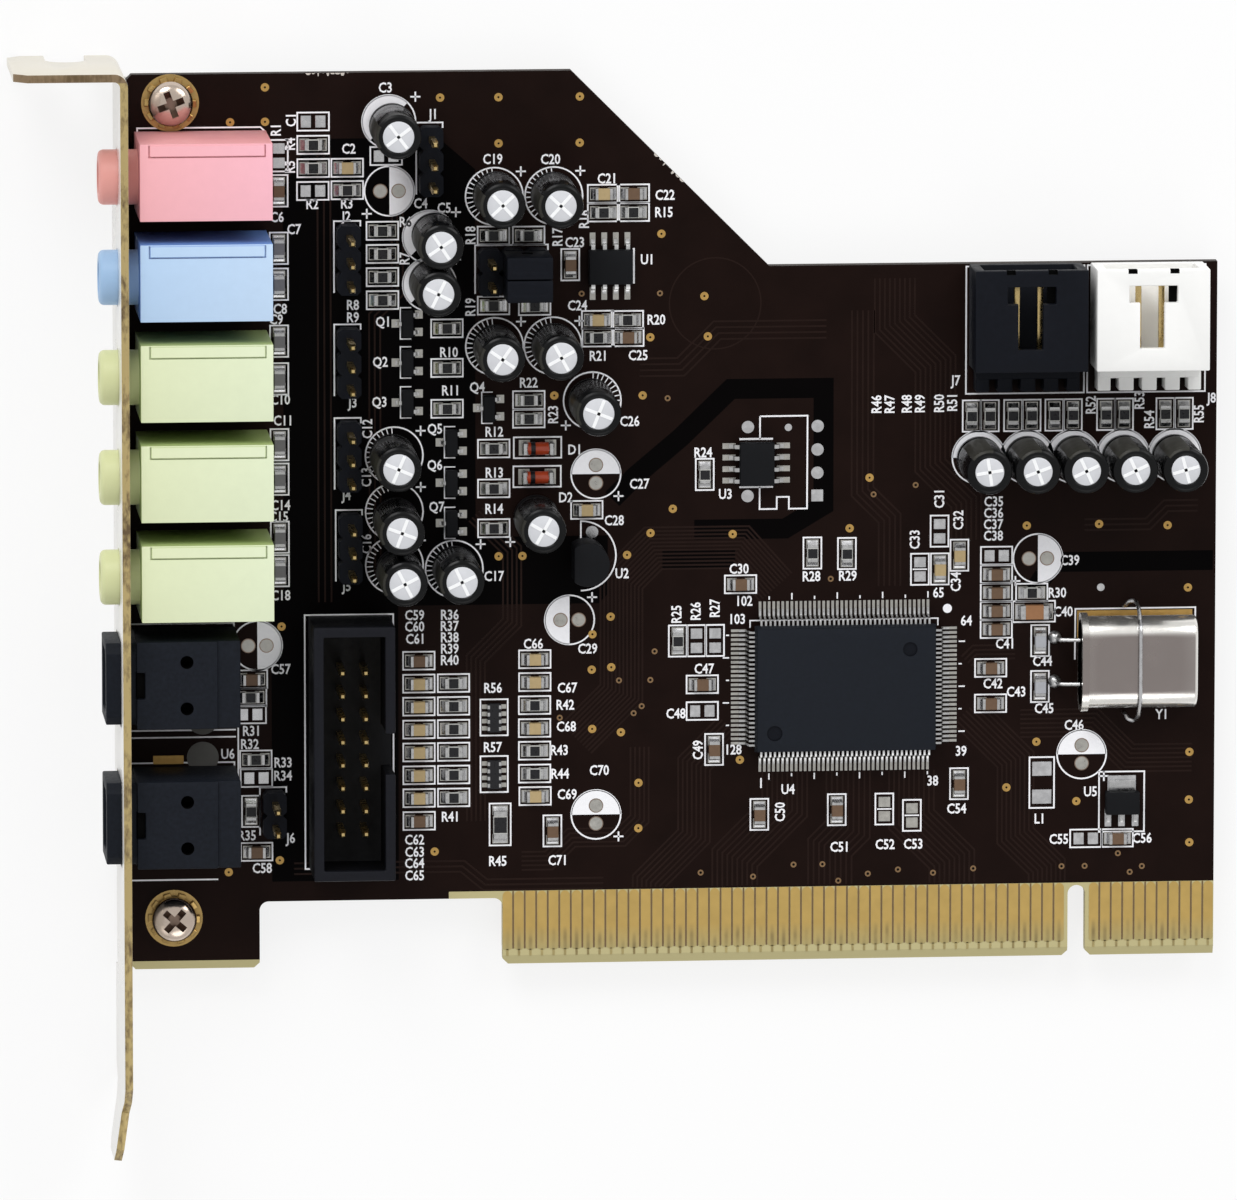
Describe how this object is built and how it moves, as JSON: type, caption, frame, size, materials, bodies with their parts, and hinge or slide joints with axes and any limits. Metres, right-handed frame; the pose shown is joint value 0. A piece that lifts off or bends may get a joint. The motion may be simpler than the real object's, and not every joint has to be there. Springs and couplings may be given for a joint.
{
  "type": "sound card",
  "caption": "Computer sound card: dark circuit board with a bent metal bracket, audio jacks, optical sockets, pin headers, chips and capacitors above a keyed edge connector.",
  "frame": {"origin": "Middle of the key notch on the board's connector edge, in the middle of the board's thickness.", "axes": "+X runs along the card away from the bracket, +Y away from the connector edge, +Z out of the component side. The card lies on its back with the components up."},
  "size_m": [0.1323, 0.12, 0.0184],
  "materials": {
    "board_mask": "dark brown solder mask",
    "bracket_metal": "bright plated sheet",
    "pink_plastic": "moulded",
    "blue_plastic": "moulded",
    "green_plastic": "moulded",
    "black_plastic": "moulded",
    "white_plastic": "moulded",
    "gold_pin": "gold plated",
    "tin": "tin plated",
    "package": "moulded package",
    "sleeve": "shrunk sleeve",
    "can_metal": "drawn can",
    "resistor": "glazed",
    "capacitor": "fired ceramic",
    "diode_glass": "tinted glass",
    "module": "clear dark moulding"
  },
  "bodies": {
    "root": {"amplifier": "package", "audio_controller": "package", "audio_controller_leads": "tin", "aux_socket": "white_plastic", "aux_socket_pins": "gold_pin", "bass_out_jack": "green_plastic", "bass_out_jack_springs": "tin", "board": "board_mask", "box_header": "black_plastic", "box_header_pins": "gold_pin", "bracket": "bracket_metal", "bracket_strips": "bracket_metal", "cd_socket": "black_plastic", "cd_socket_pins": "gold_pin", "chip_capacitors": "capacitor", "chip_resistors": "resistor", "crystal": "can_metal", "crystal_leads": "tin", "crystal_strap": "tin", "digital_header": "black_plastic", "diodes": "diode_glass", "electrolytic_capacitors": "sleeve", "front_out_jack": "green_plastic", "front_out_jack_springs": "tin", "header_pins": "gold_pin", "jumper_caps": "black_plastic", "line_in_jack": "blue_plastic", "line_in_jack_springs": "tin", "memory": "package", "mic_jack": "pink_plastic", "mic_jack_springs": "tin", "mode_header": "black_plastic", "optical_in_module": "module", "optical_in_socket": "black_plastic", "optical_out_module": "module", "optical_out_socket": "black_plastic", "power_regulator": "package", "power_regulator_leads": "tin", "rear_out_jack": "green_plastic", "rear_out_jack_springs": "tin", "reference_regulator": "package", "reference_regulator_legs": "tin", "resistor_networks": "resistor", "small_package_leads": "tin", "speaker_header_1": "black_plastic", "speaker_header_2": "black_plastic", "speaker_header_3": "black_plastic", "speaker_header_4": "black_plastic", "speaker_header_5": "black_plastic", "transistors": "package"}
  },
  "joints": []
}
